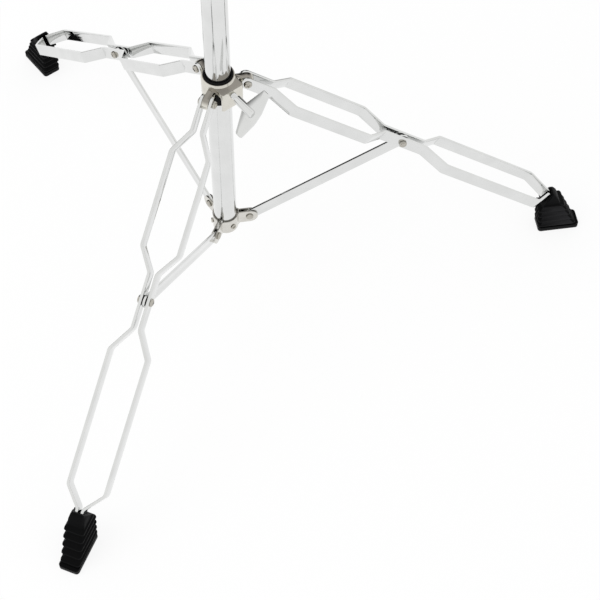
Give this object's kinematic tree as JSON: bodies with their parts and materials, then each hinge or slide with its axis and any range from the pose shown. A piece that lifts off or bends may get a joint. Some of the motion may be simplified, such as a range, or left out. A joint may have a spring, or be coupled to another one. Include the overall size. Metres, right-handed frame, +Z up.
{
  "type": "cymbal stand",
  "caption": "Straight cymbal stand on a folding tripod of looped flat steel bars with ribbed rubber feet, telescoping tubes and a tilting cymbal seat.",
  "frame": {"origin": "on the floor, under the middle of the box round the stand", "axes": "+Z up the tubes, leg b points along -Y"},
  "size_m": [0.7316, 0.6346, 1.159],
  "materials": {
    "chrome": "bright chrome plate",
    "nickel": "satin nickel plate",
    "black_plastic": "black nylon",
    "rubber": "black moulded rubber",
    "felt": "pressed wool felt"
  },
  "bodies": {
    "base": {"base_tube": "chrome", "tube_end_cap": "black_plastic", "bracket_plate_ab": "nickel", "bracket_plate_ac": "nickel", "bracket_plate_bc": "nickel", "bracket_rivet_ab": "nickel", "bracket_rivet_ac": "nickel", "bracket_rivet_bc": "nickel", "strut_pin_a": "chrome", "strut_pin_b": "chrome", "strut_pin_c": "chrome", "lower_clamp": "nickel", "lower_clamp_bush": "black_plastic"},
    "collar": {"collar": "nickel", "collar_bush": "black_plastic", "collar_bolt_a": "chrome", "collar_bolt_b": "chrome", "collar_bolt_c": "chrome"},
    "collar_wing": {"collar_wing_screw": "chrome"},
    "lower_wing": {"lower_wing_screw": "chrome"},
    "middle": {"middle_tube": "chrome", "upper_clamp": "nickel", "upper_clamp_bush": "black_plastic"},
    "upper_wing": {"upper_wing_screw": "chrome"},
    "upper": {"upper_tube": "chrome", "tilter_base": "nickel", "tilter_bolt": "chrome"},
    "tilter_nut": {"tilter_wing_nut": "chrome"},
    "tilt": {"tilter_head": "nickel", "cymbal_rod": "chrome", "cup_washer": "chrome", "rod_sleeve": "black_plastic", "lower_felt": "felt", "upper_felt": "felt"},
    "top_nut": {"top_wing_nut": "chrome"},
    "leg_a": {"leg_bar_a_left": "chrome", "leg_bar_a_right": "chrome", "middle_screw_a": "chrome", "middle_nut_a": "chrome", "foot_a": "rubber"},
    "strut_a": {"strut_a": "chrome", "strut_bush_a": "black_plastic"},
    "leg_b": {"leg_bar_b_left": "chrome", "leg_bar_b_right": "chrome", "middle_screw_b": "chrome", "middle_nut_b": "chrome", "foot_b": "rubber"},
    "strut_b": {"strut_b": "chrome", "strut_bush_b": "black_plastic"},
    "leg_c": {"leg_bar_c_left": "chrome", "leg_bar_c_right": "chrome", "middle_screw_c": "chrome", "middle_nut_c": "chrome", "foot_c": "rubber"},
    "strut_c": {"strut_c": "chrome", "strut_bush_c": "black_plastic"}
  },
  "joints": [
    {"name": "collar_slide", "type": "slide", "parent": "base", "child": "collar", "axis": [0, 0, 1], "range_m": [0, 0.1758]},
    {"name": "collar_wing_turn", "type": "hinge", "parent": "collar", "child": "collar_wing", "pos_m": [0.01325, 0.0925, 0.311], "axis": [0.866, -0.5, 0], "continuous": true},
    {"name": "lower_wing_turn", "type": "hinge", "parent": "base", "child": "lower_wing", "pos_m": [0.01044, 0.09412, 0.6], "axis": [0.866, -0.5, 0], "continuous": true},
    {"name": "middle_slide", "type": "slide", "parent": "base", "child": "middle", "axis": [0, 0, 1], "range_m": [-0.15, 0.2]},
    {"name": "upper_wing_turn", "type": "hinge", "parent": "middle", "child": "upper_wing", "pos_m": [0.00766, 0.09572, 0.812], "axis": [0.866, -0.5, 0], "continuous": true},
    {"name": "upper_slide", "type": "slide", "parent": "middle", "child": "upper", "axis": [0, 0, 1], "range_m": [-0.17, 0.15]},
    {"name": "tilter_nut_turn", "type": "hinge", "parent": "upper", "child": "tilter_nut", "pos_m": [0.00795, 0.10015, 1.051], "axis": [1, 0, 0], "continuous": true},
    {"name": "tilt_hinge", "type": "hinge", "parent": "upper", "child": "tilt", "pos_m": [0, 0.10015, 1.051], "axis": [1, 0, 0], "range_deg": [-90, 90]},
    {"name": "top_nut_turn", "type": "hinge", "parent": "tilt", "child": "top_nut", "pos_m": [0, 0.10015, 1.1122], "axis": [0, 0, 1], "continuous": true},
    {"name": "leg_a_hinge", "type": "hinge", "parent": "collar", "child": "leg_a", "pos_m": [0.02473, 0.11442, 0.308], "axis": [-0.5, 0.866, 0], "range_deg": [-1, 51]},
    {"name": "strut_a_hinge", "type": "hinge", "parent": "base", "child": "strut_a", "pos_m": [0.02321, 0.11355, 0.0845], "axis": [0.5, -0.866, 0], "range_deg": [-1, 55]},
    {"name": "leg_b_hinge", "type": "hinge", "parent": "collar", "child": "leg_b", "pos_m": [0, 0.0716, 0.308], "axis": [1, 0, 0], "range_deg": [-1, 51]},
    {"name": "strut_b_hinge", "type": "hinge", "parent": "base", "child": "strut_b", "pos_m": [0, 0.07335, 0.0845], "axis": [-1, 0, 0], "range_deg": [-1, 55]},
    {"name": "leg_c_hinge", "type": "hinge", "parent": "collar", "child": "leg_c", "pos_m": [-0.02473, 0.11442, 0.308], "axis": [-0.5, -0.866, 0], "range_deg": [-1, 51]},
    {"name": "strut_c_hinge", "type": "hinge", "parent": "base", "child": "strut_c", "pos_m": [-0.02321, 0.11355, 0.0845], "axis": [0.5, 0.866, 0], "range_deg": [-1, 55]}
  ],
  "couplings": [
    {"joint": "leg_a_hinge", "follows": "collar_slide", "rad_per_m": 4.9426},
    {"joint": "strut_a_hinge", "follows": "collar_slide", "rad_per_m": 5.3303},
    {"joint": "leg_b_hinge", "follows": "collar_slide", "rad_per_m": 4.9426},
    {"joint": "strut_b_hinge", "follows": "collar_slide", "rad_per_m": 5.3303},
    {"joint": "leg_c_hinge", "follows": "collar_slide", "rad_per_m": 4.9426},
    {"joint": "strut_c_hinge", "follows": "collar_slide", "rad_per_m": 5.3303}
  ]
}
